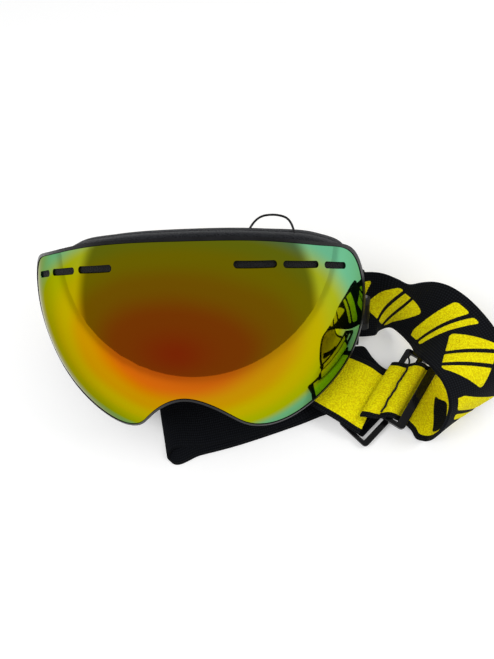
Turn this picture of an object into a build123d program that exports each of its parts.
"""Frameless sports goggles lying on a table, their strap folded beside and under them.

Row frame: millimetres, +X to the viewer's right, +Y away from the viewer, +Z up.
The table is Z = 0 and the origin is the middle of the whole part's footprint.
The goggles lean back, so their own pieces are drawn on three tilted planes.
"""

from build123d import *
from math import asin, cos, degrees, radians, sin, sqrt
import os

os.makedirs("parts", exist_ok=True)

# --- how the goggles lie --------------------------------------------------------
LEAN = 39.0  # degrees that the goggles lean back
SHIFT = Vector(-0.8, 8.3, 0)  # brings the middle of the footprint to the origin
CENTRE = (-36.8, 53.3, 14.0)  # centre of the lens's curvature
CENTRE_VECTOR = Vector(*CENTRE)
UP = Vector(0, sin(radians(LEAN)), cos(radians(LEAN)))  # the goggles' own up
BACK = Vector(0, cos(radians(LEAN)), -sin(radians(LEAN)))  # towards the face
FRONT = Plane(origin=CENTRE, x_dir=(1, 0, 0), z_dir=-BACK)  # x right, y up
TOP = Plane(origin=CENTRE, x_dir=(1, 0, 0), z_dir=UP)  # x right, y back
SIDE = Plane(origin=CENTRE, x_dir=BACK, z_dir=(1, 0, 0))  # x back, y up
LENS_AXIS = Axis(CENTRE, UP)

# --- lens -----------------------------------------------------------------------
LENS_RADIUS = 105.0  # round the face
LENS_RISE_RADIUS = 120.0  # up and down
LENS_HALF_WIDTH = 92.4
LENS_TOP = 54.0
LENS_LOBE = 52.0  # lowest point of each cheek, below the middle
NOSE_APEX = 22.6  # top of the nose arch, below the middle
OUTER_LENS = 1.3  # thickness
LENS_GAP = 7.0  # foam spacer between the two lenses
INNER_LENS = 1.2
SPACER_WIDTH = 6.0
SPACER_INSET = 1.0
GLUE = 0.05  # glue line between a lens and its spacer

SLOT_HEIGHT = 3.3
SLOT_ANGLES = ((17.3, 28.6), (31.0, 42.0), (44.4, 53.4))  # degrees from the middle
SLOT_ARCH = 44.2  # height that the row of slots would reach in the middle
SLOT_FALL = 0.00525  # fall of the row per square degree
VENT_FOAM = 4.5  # thickness of the foam behind the slots
VENT_MARGIN = 2.6

# --- rim and frame ----------------------------------------------------------------
RIM_FIT = 0.15  # clearance round the lenses
RIM_WALL = 1.3
RIM_PROUD = 0.4  # rim in front of the lens face
RIM_LIP = 6.0
RIM_LIP_THICK = 1.6
FRAME_INSET = 5.6
FRAME_WALL = 2.4
FRONT_FLANGE = 8.0  # wide enough to reach behind the rim's lip at the temples
REAR_FLANGE = 6.0
FLANGE_THICK = 1.8
RIB_PROUD = 0.7
RIB_WIDTH = 1.6
RIB_PITCH = 4.4
RIBS = 3
TOP_VENT_LENGTH = 11.0
TOP_VENT_WIDTH = 4.6
TOP_VENT_PITCH = 16.0
TOP_VENTS = 7
CHEEK_VENT_LENGTH = 8.0
CHEEK_VENT_ANGLES = (24.0, 34.0)
MESH_THICK = 1.0

# --- face seal --------------------------------------------------------------------
FACE_RADIUS = 108.0
FACE_CENTRE = 53.5  # how far behind the lens's centre the face curve's axis stands
FLEECE = 1.6
SOFT_FOAM = 5.0
FIRM_FOAM = 7.0
FOAM_INSET = 6.2
FOAM_WIDTH = 12.0
FOAM_STEP = 0.8  # each softer layer is this much wider inwards
REACH = 115.0  # longer than the goggles are deep

# --- outriggers -------------------------------------------------------------------
HINGE = (94.5, -37.0)  # right hinge axis seen from above: x, back
OUTRIGGER_Z = -8.0
KNUCKLE_RADIUS = 3.9
KNUCKLE_HEIGHT = 12.0
LUG_HEIGHT = 3.4
LUG_GAP = 0.15
PIN_RADIUS = 1.2
PIN_FIT = 0.05
PIN_HEAD_RADIUS = 2.2
PIN_HEAD = 0.8
ARM_X = 92.4
ARM_THICK = 3.0
BAR_BACK = -23.0
BAR_WIDTH = 3.2
RAIL = 3.2
WINDOW_EXTRA = 1.6  # window taller than the strap
WINDOW_LENGTH = 4.2
NECK = 0.5  # arm kept low until it is this far past the lugs

# --- strap ------------------------------------------------------------------------
STRAP_WIDTH = 42.0
STRAP_THICK = 1.7
SOFT_GAP = 0.3
JOIN_RIGHT = 13.5  # hinge axis to where the right strap leaves its loop
JOIN_LEFT = 20.5

# --- sliders ------------------------------------------------------------------------
# each bar is (from, to) along the strap, from the slider's middle
SLIDER_SLACK = 1.6  # window longer than its webbing is wide
SLIDER_RAIL = 2.6
UPPER_MIDDLE = -2.4  # the webbing runs off the slider frame's middle
LOWER_MIDDLE = -2.05
UPPER_SLIDER = Plane(origin=(81.6, -22.2, 7.8), x_dir=(-0.834, 0.552, 0), z_dir=(0, 0, 1))
UPPER_BARS = ((-9.5, -4.5), (0.5, 3.7), (8.7, 12.0))
UPPER_THICK = 2.6
UPPER_WEB = 39.5  # width of the webbing folded through the upper slider
LOWER_SLIDER = Plane(origin=(68.7, -27.2, 1.9), x_dir=(0.707, -0.707, 0), z_dir=(0, 0, 1))
LOWER_BARS = ((-10.5, -7.0), (-1.6, 1.6), (7.0, 10.5))
LOWER_THICK = 1.8
END_RAIL_ROUND = 2.4


def outline(inset):
    """Closed outline of the goggles from the front, moved in by inset."""
    i = inset
    half = [
        (0, LENS_TOP - i),
        (40 - 0.2 * i, LENS_TOP - 3.2 - i),
        (70 - 0.6 * i, LENS_TOP - 11.8 - 0.8 * i),
        (LENS_HALF_WIDTH - 4.6 - 0.93 * i, LENS_TOP - 25.5 - 0.35 * i),
        (LENS_HALF_WIDTH - i, 3),
        (LENS_HALF_WIDTH - 5.4 - 0.95 * i, -22 + 0.25 * i),
        (70 - 0.6 * i, 10.8 - LENS_LOBE + 0.8 * i),
        (44, i - LENS_LOBE),
        (30 + 0.55 * i, 5.7 - LENS_LOBE + 0.8 * i),
        (17 + 0.8 * i, -8.9 - NOSE_APEX + 0.55 * i),
        (0, i - NOSE_APEX),
    ]
    left = [(-x, y) for x, y in half[-2:0:-1]]
    return half + left


def closed_face(points, mode=Mode.ADD):
    """Face inside one smooth closed curve."""
    with BuildLine(Plane.XY) as curve:
        Spline(*points, periodic=True)
    make_face(curve.edges(), mode=mode)


def lens_shell(near, far, mode=Mode.ADD):
    """Shell of the lens's double curve, from near to far below its front face."""
    middle = LENS_RISE_RADIUS - LENS_RADIUS
    span = 50
    with BuildSketch(SIDE) as crescent:
        with BuildLine():
            outer = CenterArc((middle, 0), LENS_RISE_RADIUS - near, 180 - span, 2 * span)
            inner = CenterArc((middle, 0), LENS_RISE_RADIUS - far, 180 - span, 2 * span)
            Line(outer @ 0, inner @ 0)
            Line(outer @ 1, inner @ 1)
        make_face()
    revolve(crescent.sketch, axis=LENS_AXIS, mode=mode)


def face_shell(near, far, mode=Mode.INTERSECT):
    """Upright shell round the face, from near to far in front of the skin."""
    with BuildSketch(TOP.offset(-REACH / 2)) as arc:
        with Locations((0, FACE_CENTRE)):
            Circle(FACE_RADIUS + far)
            if near is not None:
                Circle(FACE_RADIUS + near, mode=Mode.SUBTRACT)
    extrude(arc.sketch, amount=REACH, mode=mode)


def straight_ring(outer, inner, mode=Mode.ADD):
    """Ring of the goggles' outline carried straight from the face to the lens."""
    with BuildSketch(FRONT) as front:
        closed_face(outline(outer))
        if inner is not None:
            closed_face(outline(inner), mode=Mode.SUBTRACT)
    extrude(front.sketch, amount=REACH, mode=mode)


def save(piece, name):
    """Label a finished piece and write it."""
    piece.part.label = name
    export_step(piece.part, "parts/" + name + ".step")


# --- lens and rim -------------------------------------------------------------------
STACK = OUTER_LENS + LENS_GAP + INNER_LENS + 2 * GLUE
LIP_BACK = STACK + RIM_FIT + RIM_LIP_THICK
FRAME_FRONT = LIP_BACK + GLUE
CORE_DEPTH = 85.0  # deeper than any of the frame
FOAMS = FLEECE + SOFT_FOAM + FIRM_FOAM + 3 * GLUE


def blank(inset):
    """Block with the outline's shape, its edge square to the lens all round.

    Its edge is a cone whose point is the centre of the lens's curvature.
    """
    spread = []
    for x, y in outline(inset):
        reach = sqrt(LENS_RISE_RADIUS ** 2 - y * y) - LENS_RISE_RADIUS + LENS_RADIUS
        away = sqrt(reach * reach - x * x)
        spread.append((x / away, y / away))
    with BuildPart(mode=Mode.PRIVATE) as block:
        for distance in (35, 125):
            with BuildSketch(FRONT.offset(distance)):
                closed_face([(x * distance, y * distance) for x, y in spread])
        loft(ruled=True)
    return block.part


def slot_block(angle_from, angle_to, side, grow):
    """Block through the lens where a vent slot stands, grown all round."""
    middle = (angle_from + angle_to) / 2
    spread = radians(angle_to - angle_from) * LENS_RADIUS
    height = SLOT_ARCH - SLOT_FALL * middle * middle
    turn = -degrees(2 * SLOT_FALL * middle / radians(LENS_RADIUS))
    bearing = radians(side * middle)
    out = Vector(sin(bearing), 0, 0) - BACK * cos(bearing)
    start = CENTRE_VECTOR + UP * height + out * LENS_RADIUS / 2
    with BuildPart(mode=Mode.PRIVATE) as block:
        with BuildSketch(Plane(start, x_dir=UP.cross(out), z_dir=out)):
            SlotOverall(spread + 2 * grow, SLOT_HEIGHT + 2 * grow, rotation=side * turn)
        extrude(amount=LENS_RADIUS)
    return block.part


lens_block = blank(0)
seat_block = blank(-RIM_FIT)

with BuildPart() as outer_lens:
    add(lens_block)
    lens_shell(0, OUTER_LENS, mode=Mode.INTERSECT)
    for side in (-1, 1):
        for angles in SLOT_ANGLES:
            add(slot_block(*angles, side, 0), mode=Mode.SUBTRACT)
save(outer_lens, "outer_lens")

SPACER_FRONT = OUTER_LENS + GLUE
SPACER_BACK = SPACER_FRONT + LENS_GAP
with BuildPart() as lens_spacer:
    add(blank(SPACER_INSET))
    add(blank(SPACER_INSET + SPACER_WIDTH), mode=Mode.SUBTRACT)
    lens_shell(SPACER_FRONT, SPACER_BACK, mode=Mode.INTERSECT)
    for side in (-1, 1):
        for angles in SLOT_ANGLES:
            add(slot_block(*angles, side, VENT_MARGIN + GLUE), mode=Mode.SUBTRACT)
save(lens_spacer, "lens_spacer")

with BuildPart() as inner_lens:
    add(lens_block)
    lens_shell(SPACER_BACK + GLUE, STACK, mode=Mode.INTERSECT)
save(inner_lens, "inner_lens")

for side, hand in ((-1, "left"), (1, "right")):
    with BuildPart() as slot_vent_foam:
        for angles in SLOT_ANGLES:
            add(slot_block(*angles, side, VENT_MARGIN))
        lens_shell(SPACER_FRONT, SPACER_FRONT + VENT_FOAM, mode=Mode.INTERSECT)
    save(slot_vent_foam, "slot_vent_foam_" + hand)

with BuildPart() as lens_rim:
    add(blank(-RIM_FIT - RIM_WALL))
    lens_shell(-RIM_PROUD, LIP_BACK, mode=Mode.INTERSECT)
    with BuildPart(mode=Mode.PRIVATE) as seat:
        add(seat_block)
        lens_shell(-3, STACK + RIM_FIT, mode=Mode.INTERSECT)
    add(seat.part, mode=Mode.SUBTRACT)
    add(blank(RIM_LIP), mode=Mode.SUBTRACT)
save(lens_rim, "lens_rim")

# --- frame and its vents ------------------------------------------------------------
FLANGE_BACK = FRAME_FRONT + FLANGE_THICK
SEAT = FOAMS + GLUE  # front of the foam stack, before the skin
VENT_FROM = FLANGE_BACK + RIBS * RIB_PITCH  # depth where the top vents begin
HINGE_X, HINGE_Y = HINGE
LUG_TOPS = (
    OUTRIGGER_Z + KNUCKLE_HEIGHT / 2 + LUG_GAP + LUG_HEIGHT,
    OUTRIGGER_Z - KNUCKLE_HEIGHT / 2 - LUG_GAP,
)
LUG_ROOTS = (9.8, 12.0)  # how far each lug reaches inwards from the hinge


def sector(angle, length, upward):
    """Tall block standing over part of the frame's wall, seen from the middle."""
    bearing = radians(angle)
    out = Vector(sin(bearing), 0, 0) - BACK * cos(bearing)
    with BuildPart(mode=Mode.PRIVATE) as block:
        with BuildSketch(Plane(CENTRE_VECTOR, x_dir=UP.cross(out), z_dir=UP * upward)):
            with Locations((0, -REACH / 2), (0, REACH / 2)):
                Rectangle(length, REACH)
        extrude(amount=REACH)
    return block.part


with BuildPart() as main_frame:
    straight_ring(FRAME_INSET, FRAME_INSET + FRAME_WALL)
    lens_shell(FRAME_FRONT, CORE_DEPTH, mode=Mode.INTERSECT)
    with BuildPart(mode=Mode.PRIVATE) as front_flange:
        straight_ring(FRAME_INSET + FRAME_WALL / 2, FRAME_INSET + FRONT_FLANGE)
        lens_shell(FRAME_FRONT, FLANGE_BACK, mode=Mode.INTERSECT)
    add(front_flange.part, clean=False)
    with BuildPart(mode=Mode.PRIVATE) as ribs:
        straight_ring(FRAME_INSET - RIB_PROUD, FRAME_INSET + FRAME_WALL / 2)
        with BuildPart(mode=Mode.PRIVATE) as bands:
            for rib in range(RIBS):
                rib_from = FLANGE_BACK + (rib + 0.5) * RIB_PITCH
                lens_shell(rib_from, rib_from + RIB_WIDTH)
        add(bands.part, mode=Mode.INTERSECT)
        split(bisect_by=TOP.offset(18), keep=Keep.TOP)
    add(ribs.part, clean=False)
    face_shell(None, SEAT, mode=Mode.SUBTRACT)
    with BuildPart(mode=Mode.PRIVATE) as rear_flange:
        straight_ring(FRAME_INSET + FRAME_WALL / 2, FRAME_INSET + REAR_FLANGE)
        face_shell(SEAT, SEAT + FLANGE_THICK)
        lens_shell(FRAME_FRONT, CORE_DEPTH, mode=Mode.INTERSECT)
    add(rear_flange.part, clean=False)
    # vents through the top wall
    with BuildPart(mode=Mode.PRIVATE) as top_vents:
        lens_shell(VENT_FROM, VENT_FROM + TOP_VENT_WIDTH)
        with BuildPart(mode=Mode.PRIVATE) as windows:
            for vent in range(TOP_VENTS):
                place = (vent - (TOP_VENTS - 1) / 2) * TOP_VENT_PITCH
                turn = degrees(asin(place / (LENS_RADIUS - VENT_FROM)))
                add(sector(turn, TOP_VENT_LENGTH, 1))
        add(windows.part, mode=Mode.INTERSECT)
    add(top_vents.part, mode=Mode.SUBTRACT, clean=False)
    # vents through the cheeks
    with BuildPart(mode=Mode.PRIVATE) as cheek_vents:
        lens_shell(FLANGE_BACK + 2, FLANGE_BACK + 2 + TOP_VENT_WIDTH)
        with BuildPart(mode=Mode.PRIVATE) as windows:
            for turn in CHEEK_VENT_ANGLES:
                add(sector(turn, CHEEK_VENT_LENGTH, -1))
                add(sector(-turn, CHEEK_VENT_LENGTH, -1))
        add(windows.part, mode=Mode.INTERSECT)
    add(cheek_vents.part, mode=Mode.SUBTRACT, clean=False)
    # hinge lugs, one above and one below each outrigger's knuckle
    for side in (1, -1):
        for lug_top, root in zip(LUG_TOPS[::-1], LUG_ROOTS[::-1]):
            with BuildPart(mode=Mode.PRIVATE) as lug:
                with BuildSketch(TOP.offset(lug_top)):
                    with BuildLine():
                        Polyline(
                            (side * (HINGE_X - root), HINGE_Y + 3),
                            (side * (HINGE_X - 2), HINGE_Y - KNUCKLE_RADIUS + 0.4),
                            (side * HINGE_X, HINGE_Y),
                            (side * (HINGE_X - 1.8), HINGE_Y + KNUCKLE_RADIUS - 0.5),
                            (side * (HINGE_X - 4.4), HINGE_Y + KNUCKLE_RADIUS),
                            (side * (HINGE_X - root), HINGE_Y + 10),
                            close=True,
                        )
                    make_face()
                    with Locations((side * HINGE_X, HINGE_Y)):
                        Circle(KNUCKLE_RADIUS)
                        Circle(PIN_RADIUS + PIN_FIT, mode=Mode.SUBTRACT)
                extrude(amount=-LUG_HEIGHT)
                face_shell(None, SEAT, mode=Mode.SUBTRACT)
            add(lug.part)
save(main_frame, "main_frame")
print("main frame pieces:", len(main_frame.solids()))

INSIDE = FRAME_INSET + FRAME_WALL + GLUE
with BuildPart() as top_vent_mesh:
    straight_ring(INSIDE, INSIDE + MESH_THICK)
    lens_shell(FLANGE_BACK + 0.5, VENT_FROM + TOP_VENT_WIDTH + 2, mode=Mode.INTERSECT)
    add(sector(0, 112, 1), mode=Mode.INTERSECT)
    face_shell(None, SEAT + FLANGE_THICK + 0.2, mode=Mode.SUBTRACT)
save(top_vent_mesh, "top_vent_mesh")
print("mesh pieces:", len(top_vent_mesh.solids()))

for side, hand in ((-1, "left"), (1, "right")):
    with BuildPart() as cheek_vent_foam:
        straight_ring(INSIDE, INSIDE + 3)
        lens_shell(FLANGE_BACK + 0.5, FLANGE_BACK + 8, mode=Mode.INTERSECT)
        turn = side * sum(CHEEK_VENT_ANGLES) / len(CHEEK_VENT_ANGLES)
        add(sector(turn, 28, -1), mode=Mode.INTERSECT)
        face_shell(None, SEAT + FLANGE_THICK + 0.2, mode=Mode.SUBTRACT)
    save(cheek_vent_foam, "cheek_vent_foam_" + hand)
    print("cheek foam pieces:", len(cheek_vent_foam.solids()))

# --- face seal: three layers between the frame and the skin ---------------------------
for name, near, thick, grow in (
    ("face_fleece", 0, FLEECE, 2),
    ("face_foam_soft", FLEECE + GLUE, SOFT_FOAM, 1),
    ("face_foam_firm", FLEECE + SOFT_FOAM + 2 * GLUE, FIRM_FOAM, 0),
):
    with BuildPart() as layer:
        straight_ring(FOAM_INSET, FOAM_INSET + FOAM_WIDTH + grow * FOAM_STEP)
        face_shell(near, near + thick)
        split(bisect_by=FRONT, keep=Keep.TOP)
    save(layer, name)

# --- outriggers: knuckle, flared arm and the window that holds the strap --------------
WINDOW_HEIGHT = STRAP_WIDTH + WINDOW_EXTRA
WINDOW_FROM = BAR_BACK - BAR_WIDTH / 2 - WINDOW_LENGTH
ARM_FROM = HINGE_Y + KNUCKLE_RADIUS + NECK
for side, hand in ((-1, "left"), (1, "right")):
    with BuildPart() as outrigger:
        with BuildSketch(TOP.offset(OUTRIGGER_Z - KNUCKLE_HEIGHT / 2)):
            with Locations((side * HINGE_X, HINGE_Y)):
                Circle(KNUCKLE_RADIUS)
            with Locations((side * ARM_X, (HINGE_Y + ARM_FROM + 2) / 2)):
                Rectangle(ARM_THICK, ARM_FROM + 2 - HINGE_Y)
        extrude(amount=KNUCKLE_HEIGHT)
        half = WINDOW_HEIGHT / 2 + RAIL
        with BuildSketch(SIDE.offset(side * ARM_X - ARM_THICK / 2)):
            with BuildLine():
                Polyline(
                    (ARM_FROM, OUTRIGGER_Z + KNUCKLE_HEIGHT / 2),
                    (ARM_FROM + 2, OUTRIGGER_Z + half),
                    (BAR_BACK + BAR_WIDTH / 2, OUTRIGGER_Z + half),
                    (BAR_BACK + BAR_WIDTH / 2, OUTRIGGER_Z - half),
                    (ARM_FROM + 2, OUTRIGGER_Z - half),
                    (ARM_FROM, OUTRIGGER_Z - KNUCKLE_HEIGHT / 2),
                    close=True,
                )
            make_face()
            with Locations((WINDOW_FROM + WINDOW_LENGTH / 2, OUTRIGGER_Z)):
                Rectangle(WINDOW_LENGTH, WINDOW_HEIGHT, mode=Mode.SUBTRACT)
        extrude(amount=ARM_THICK)
        with BuildSketch(TOP.offset(OUTRIGGER_Z - KNUCKLE_HEIGHT)):
            with Locations((side * HINGE_X, HINGE_Y)):
                Circle(PIN_RADIUS + PIN_FIT)
        extrude(amount=2 * KNUCKLE_HEIGHT, mode=Mode.SUBTRACT)
    save(outrigger, "outrigger_" + hand)
    print("outrigger pieces:", len(outrigger.solids()))
    with BuildPart() as pin:
        with BuildSketch(TOP.offset(LUG_TOPS[0])):
            with Locations((side * HINGE_X, HINGE_Y)):
                Circle(PIN_RADIUS)
        extrude(amount=-2 * LUG_HEIGHT - 2 * LUG_GAP - KNUCKLE_HEIGHT)
        with BuildSketch(TOP.offset(LUG_TOPS[0] + GLUE)):
            with Locations((side * HINGE_X, HINGE_Y)):
                Circle(PIN_HEAD_RADIUS)
        extrude(amount=PIN_HEAD)
        with BuildSketch(TOP.offset(LUG_TOPS[0] - 0.1)):
            with Locations((side * HINGE_X, HINGE_Y)):
                Circle(PIN_RADIUS)
        extrude(amount=0.3)
    save(pin, "outrigger_pin_" + hand)


# --- strap ------------------------------------------------------------------------------
def stations(route):
    """A plane across the strap at each stop of its route.

    A stop is x, y, z and the bearing and rise, in degrees, of the strap's width.
    """
    spots = [Vector(*stop[:3]) + SHIFT for stop in route]
    planes = []
    for i, (x, y, z, bearing, rise) in enumerate(route):
        ahead = spots[min(i + 1, len(spots) - 1)] - spots[max(i - 1, 0)]
        flat = cos(radians(rise))
        wide = Vector(
            flat * cos(radians(bearing)), flat * sin(radians(bearing)), sin(radians(rise))
        )
        square = ahead - wide * ahead.dot(wide)
        planes.append(Plane(origin=spots[i], x_dir=wide, z_dir=square))
    return planes


def webbing(planes, width=STRAP_WIDTH, mode=Mode.ADD):
    """Length of webbing drawn through the planes across it."""
    cuts = []
    for plane in planes:
        with BuildSketch(plane, mode=Mode.PRIVATE) as cut:
            Rectangle(width, STRAP_THICK)
        cuts.append(cut.sketch)
    loft(cuts, mode=mode)


def hinge_cylinder(side, radius):
    """Round block about an outrigger's hinge."""
    with BuildPart(mode=Mode.PRIVATE) as block:
        with BuildSketch(TOP.offset(-REACH / 2)):
            with Locations((side * HINGE_X, HINGE_Y)):
                Circle(radius)
        extrude(amount=REACH)
    return block.part


# end loops: they ride on the outriggers and swing with them
RING = sqrt(ARM_THICK ** 2 + BAR_WIDTH ** 2) / 2 + SOFT_GAP
for side, hand, join in ((-1, "left", JOIN_LEFT), (1, "right", JOIN_RIGHT)):
    with BuildPart() as end_loop:
        with BuildSketch(TOP.offset(OUTRIGGER_Z - STRAP_WIDTH / 2)):
            with Locations((side * ARM_X, BAR_BACK)):
                Circle(RING + STRAP_THICK)
            # the tail leaves outwards on the right and backwards on the left
            if side > 0:
                with Locations((ARM_X + REACH / 2, BAR_BACK - RING - STRAP_THICK / 2)):
                    Rectangle(REACH, STRAP_THICK)
            else:
                with Locations((-ARM_X - RING - STRAP_THICK / 2, BAR_BACK + REACH / 2)):
                    Rectangle(STRAP_THICK, REACH)
            with Locations((side * ARM_X, BAR_BACK)):
                Circle(RING, mode=Mode.SUBTRACT)
        extrude(amount=STRAP_WIDTH)
        add(hinge_cylinder(side, join), mode=Mode.INTERSECT)
    save(end_loop, "strap_end_loop_" + hand)
    print("end loop pieces:", len(end_loop.solids()))

# right-hand strap: out of its loop, over in an arc and down to the table
RIGHT_ROUTE = [
    (64.5, 19.2, 24.6, 90, 51),
    (69.0, 19.1, 24.4, 88, 55),
    (74.4, 18.8, 23.8, 70, 68),
    (81.4, 18.0, 23.4, 58, 78),
    (87.7, 16.6, 23.3, 62, 68),
    (93.1, 14.2, 23.8, 60, 55),
    (97.5, 10.4, 25.2, 54, 43),
    (100.7, 5.6, 27.4, 45, 33),
    (103.2, 0.2, 30.2, 37, 23),
    (105.6, -5.5, 33.1, 30, 14),
    (108.1, -11.6, 35.7, 26, 6),
    (110.8, -18.2, 37.2, 23, -1),
    (113.4, -25.0, 37.1, 22, -8),
    (115.4, -31.5, 34.7, 22, -13),
    (116.0, -37.1, 29.8, 25, -17),
    (115.3, -41.1, 23.4, 28, -18),
    (113.5, -43.4, 16.4, 33, -17),
    (110.7, -43.6, 10.0, 40, -14),
    (107.2, -42.4, 5.0, 48, -7),
    (103.0, -40.2, 2.0, 55, -1),
    (98.5, -38.0, 1.6, 57, 0),
]
right_planes = stations(RIGHT_ROUTE)
with BuildPart() as strap_right_lead:
    webbing(right_planes[:6])
    add(hinge_cylinder(1, JOIN_RIGHT + SOFT_GAP), mode=Mode.SUBTRACT)
save(strap_right_lead, "strap_right_lead")
with BuildPart() as strap_right_arc:
    webbing(right_planes[5:14])
save(strap_right_arc, "strap_right_arc")
with BuildPart() as strap_right_turn:
    webbing(right_planes[13:])
save(strap_right_turn, "strap_right_turn")


def along_slider(slider, stops, bearing):
    """Route stops given in a slider's own frame: along the strap, across, height."""
    route = []
    for along, across, height in stops:
        spot = slider.from_local_coords(Vector(along, across, 0)) - SHIFT
        route.append((spot.X, spot.Y, height, bearing, 0))
    return route


# the webbing folded through the upper slider: two puffs with a sewn dip between
UPPER_FLOOR = Plane(
    origin=(UPPER_SLIDER.origin.X, UPPER_SLIDER.origin.Y, 0),
    x_dir=UPPER_SLIDER.x_dir,
    z_dir=(0, 0, 1),
)
WRAP_STOPS = (
    (-17.6, -2.6, 1.6),
    (-14.5, -3.2, 2.8),
    (-11.5, -3.6, 4.8),
    (-8.6, -3.8, 6.2),
    (-5.7, -3.6, 6.3),
    (-3.6, -3.0, 6.9),
    (-2.3, -2.4, 8.6),
    (-1.7, -1.8, 10.4),
    (-0.4, -1.0, 12.4),
    (2.0, 0.4, 13.4),
    (4.2, 2.2, 12.2),
    (5.8, 3.3, 11.2),
    (7.4, 4.6, 12.2),
    (10.0, 6.0, 13.3),
    (12.8, 7.0, 12.2),
    (14.4, 7.4, 10.4),
)
wrap_planes = stations(along_slider(UPPER_SLIDER, WRAP_STOPS, 56.5))
with BuildPart() as slider_wrap:
    webbing(wrap_planes, width=UPPER_WEB)
save(slider_wrap, "slider_wrap")

# the wide yellow length from under the upper slider to its fold under the lens
FRONT_ROUTE = [
    (64.2, -36.2, 6.8, 62, 0),
    (62.0, -35.0, 7.2, 62, 0),
    (54.0, -30.0, 9.5, 56, 0),
    (48.0, -26.5, 9.8, 51, 0),
    (42.0, -23.0, 9.3, 47, 0),
    (36.0, -19.0, 8.2, 46, 0),
]
FRONT_FOLD = [
    (36.0, -19.0, 8.2, 46, 0),
    (37.1, -16.4, 7.7, 44, 0),
    (38.6, -14.3, 6.5, 42, 0),
    (40.9, -13.0, 5.35, 40, 0),
    (43.7, -12.1, 4.85, 38, 0),
]
RETURN_ROUTE = [
    (43.7, -12.1, 4.85, 38, 0),
    (50.0, -20.3, 4.85, 38, 0),
    (55.0, -26.2, 4.85, 40, 0),
    (59.2, -29.4, 4.85, 43, 0),
    (62.2, -31.2, 4.8, 45, 0),
    (63.6, -32.6, 4.2, 45, 0),
    (64.3, -33.3, 3.0, 45, 0),
]
front_planes = stations(FRONT_ROUTE)
return_planes = stations(RETURN_ROUTE)
with BuildPart() as strap_front:
    webbing(front_planes)
save(strap_front, "strap_front")
with BuildPart() as strap_front_fold:
    webbing([front_planes[-1]] + stations(FRONT_FOLD)[1:-1] + [return_planes[0]])
save(strap_front_fold, "strap_front_fold")
with BuildPart() as strap_return:
    webbing(return_planes)
save(strap_return, "strap_return")

# the rear strap: from the lower slider along the table, folded at the far left
LOWER_ROUTE = [
    (-60.4, -50.4, 0.85, 105, 0),
    (-43.5, -46.0, 0.85, 105.5, 0),
    (-26.6, -41.6, 0.85, 106.5, 0),
    (0.0, -33.0, 0.85, 108, 0),
    (14.0, -28.0, 0.85, 109.5, 0),
    (30.8, -21.7, 0.85, 110, 0),
    (37.6, -20.2, 0.85, 95, 0),
    (44.7, -20.5, 0.85, 80, 0),
    (51.4, -22.6, 0.85, 65, 0),
    (59.1, -28.0, 0.85, 47, 0),
    (64.6, -33.5, 0.85, 45, 0),
    (68.8, -37.7, 0.85, 45, 0),
    (70.5, -39.4, 1.3, 45, 0),
    (71.1, -40.0, 2.4, 45, 0),
    (71.2, -40.1, 3.3, 45, 0),
]
LEFT_FOLD = [
    (-60.4, -50.4, 0.85, 105, 0),
    (-61.4, -49.2, 1.15, 104.5, 0),
    (-62.0, -48.0, 1.85, 104, 0),
    (-61.8, -46.5, 2.55, 103.5, 0),
    (-61.0, -44.9, 2.85, 103, 0),
]
REAR_ROUTE = [
    (-61.0, -44.9, 2.85, 103, 0),
    (-40.0, -40.9, 2.85, 103, 0),
    (-19.7, -36.4, 2.85, 104, 0),
    (0.0, -31.0, 2.85, 107, 0),
    (10.0, -27.3, 2.85, 110, 0),
    (18.2, -22.7, 2.85, 128, 0),
    (24.6, -15.9, 2.85, 146, 0),
    (28.6, -7.4, 2.85, 164, 0),
    (30.2, 1.5, 3.0, 178, 0),
    (31.0, 9.0, 3.7, 181, 3),
    (31.0, 17.0, 5.5, 184, 12),
    (30.0, 25.0, 10.5, 190, 27),
    (27.0, 33.0, 15.7, 200, 45),
    (22.0, 41.0, 19.2, 212, 62),
    (13.0, 47.5, 21.0, 228, 76),
    (1.0, 51.5, 21.6, 245, 84),
    (-14.0, 53.3, 21.7, 262, 87),
    (-35.0, 54.0, 21.7, 270, 88),
    (-60.0, 54.0, 21.7, 270, 88),
    (-85.0, 53.8, 21.7, 270, 89),
    (-104.0, 52.0, 21.7, 270, 92),
    (-119.0, 48.0, 21.5, 270, 96),
    (-128.4, 41.0, 20.8, 270, 106),
    (-131.5, 34.0, 19.4, 270, 118),
    (-131.9, 27.1, 18.3, 270, 129),
    (-131.9, 23.2, 21.4, 270, 129),
]
lower_planes = stations(LOWER_ROUTE)
rear_planes = stations(REAR_ROUTE)
edges = [
    [plane.from_local_coords(Vector(side * STRAP_WIDTH / 2, 0, 0)) for plane in lower_planes[:6]]
    for side in (-1, 1)
]
with BuildPart() as strap_lower:
    with BuildSketch() as flat_length:
        with BuildLine():
            Polyline(*[(spot.X, spot.Y) for spot in edges[0] + edges[1][::-1]], close=True)
        make_face()
    extrude(amount=STRAP_THICK)
save(strap_lower, "strap_lower")
with BuildPart() as strap_lower_end:
    webbing(lower_planes[5:12])
    webbing(lower_planes[11:])
save(strap_lower_end, "strap_lower_end")
with BuildPart() as strap_left_fold:
    webbing([lower_planes[0]] + stations(LEFT_FOLD)[1:-1] + [rear_planes[0]])
save(strap_left_fold, "strap_left_fold")
with BuildPart() as strap_upper:
    webbing(rear_planes[:5])
save(strap_upper, "strap_upper")
with BuildPart() as strap_under:
    webbing(rear_planes[4:9])
    webbing(rear_planes[8:11])
save(strap_under, "strap_under")
with BuildPart() as strap_rise:
    webbing(rear_planes[10:18])
save(strap_rise, "strap_rise")
with BuildPart() as strap_rear:
    webbing(rear_planes[17:21])
save(strap_rear, "strap_rear")
with BuildPart() as strap_left_lead:
    webbing(rear_planes[20:])
    add(hinge_cylinder(-1, JOIN_LEFT + SOFT_GAP), mode=Mode.SUBTRACT)
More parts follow.
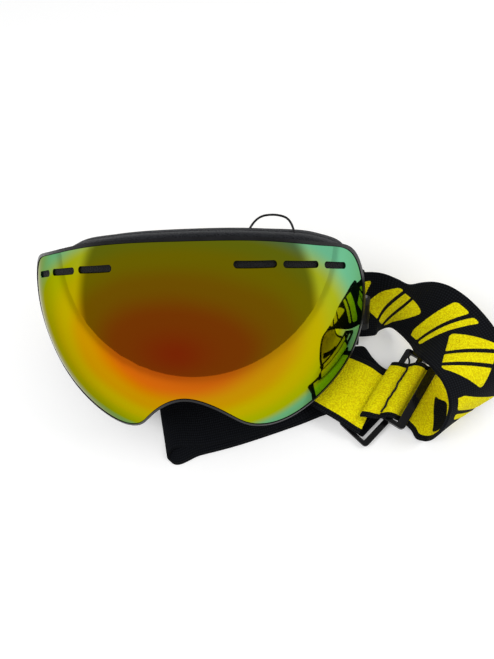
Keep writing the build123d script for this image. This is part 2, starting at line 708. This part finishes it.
save(strap_left_lead, "strap_left_lead")
print("left lead pieces:", len(strap_left_lead.solids()))

# --- sliders: end rails and three bars ----------------------------------------------------
for slider, bars, thick, web, middle, name in (
    (UPPER_SLIDER, UPPER_BARS, UPPER_THICK, UPPER_WEB, UPPER_MIDDLE, "slider_upper"),
    (LOWER_SLIDER, LOWER_BARS, LOWER_THICK, STRAP_WIDTH, LOWER_MIDDLE, "slider_lower"),
):
    window = web + SLIDER_SLACK
    with BuildPart() as ladder:
        with BuildSketch(slider):
            first = bars[0][0]
            last = bars[-1][1]
            with Locations(((first + last) / 2, middle)):
                RectangleRounded(last - first, window + 2 * SLIDER_RAIL, END_RAIL_ROUND)
            for (_, gap_from), (gap_to, _) in zip(bars, bars[1:]):
                with Locations(((gap_from + gap_to) / 2, middle)):
                    Rectangle(gap_to - gap_from, window, mode=Mode.SUBTRACT)
        extrude(amount=thick)
        fillet(ladder.edges().filter_by(GeomType.LINE).group_by(Axis.Z)[-1], 0.5)
    save(ladder, name)

# --- thread along the sewn dip, with a loose end ---------------------------------------------
THREAD_RADIUS = 0.35
THREAD_STOPS = ((5.8, 22.6, 12.7), (5.8, -12.0, 12.7), (6.6, -16.0, 13.2), (5.2, -18.6, 13.0))
thread_spots = [
    UPPER_SLIDER.from_local_coords(Vector(along, across, height - UPPER_SLIDER.origin.Z))
    for along, across, height in THREAD_STOPS
]
with BuildPart() as seam_thread:
    with BuildLine() as thread_line:
        FilletPolyline(*thread_spots, radius=1.5)
    with BuildSketch(Plane(thread_spots[0], z_dir=thread_spots[1] - thread_spots[0])):
        Circle(THREAD_RADIUS)
    sweep(path=thread_line.wires()[0])
save(seam_thread, "seam_thread")

# --- fine cord looped over the top of the frame --------------------------------------------
CORD_RADIUS = 0.6
LOOP_SPOTS = [
    TOP.from_local_coords(Vector(*spot))
    for spot in ((32, -52, 46.6), (35, -42, 48.2), (46, -39, 47.8), (55, -43, 45.4), (56, -52, 42.2))
]
with BuildPart() as hang_loop:
    with BuildLine() as loop_line:
        FilletPolyline(*LOOP_SPOTS, radius=3.2)
    with BuildSketch(Plane(LOOP_SPOTS[0], z_dir=LOOP_SPOTS[1] - LOOP_SPOTS[0])):
        Circle(CORD_RADIUS)
    sweep(path=loop_line.wires()[0])
save(hang_loop, "hang_loop")
